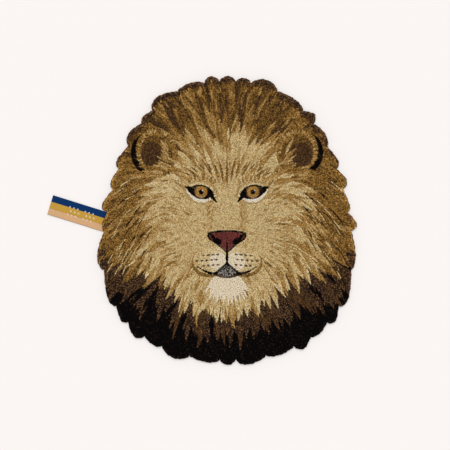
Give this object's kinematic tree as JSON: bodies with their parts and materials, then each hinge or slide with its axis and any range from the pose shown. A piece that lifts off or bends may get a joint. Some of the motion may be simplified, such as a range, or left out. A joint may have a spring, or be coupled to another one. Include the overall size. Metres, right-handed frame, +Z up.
{
  "type": "lion shaped kids rug",
  "caption": "Flat hand-tufted wool rug cut to the outline of a lion's head, with a scalloped mane rim and a folded ribbon loop sewn in at its left edge.",
  "frame": {"origin": "middle of the rug's flat underside, at floor level", "axes": "+Z up, out of the pile; +Y towards the lion's crown; +X to the right of the head as seen from above"},
  "size_m": [0.7754, 0.7226, 0.0149],
  "materials": {
    "wool_pile": "cut wool pile, matt",
    "woven_ribbon": "woven satin ribbon, slight sheen"
  },
  "bodies": {
    "root": {"tufted_rug": "wool_pile", "ribbon_loop": "woven_ribbon"}
  },
  "joints": []
}
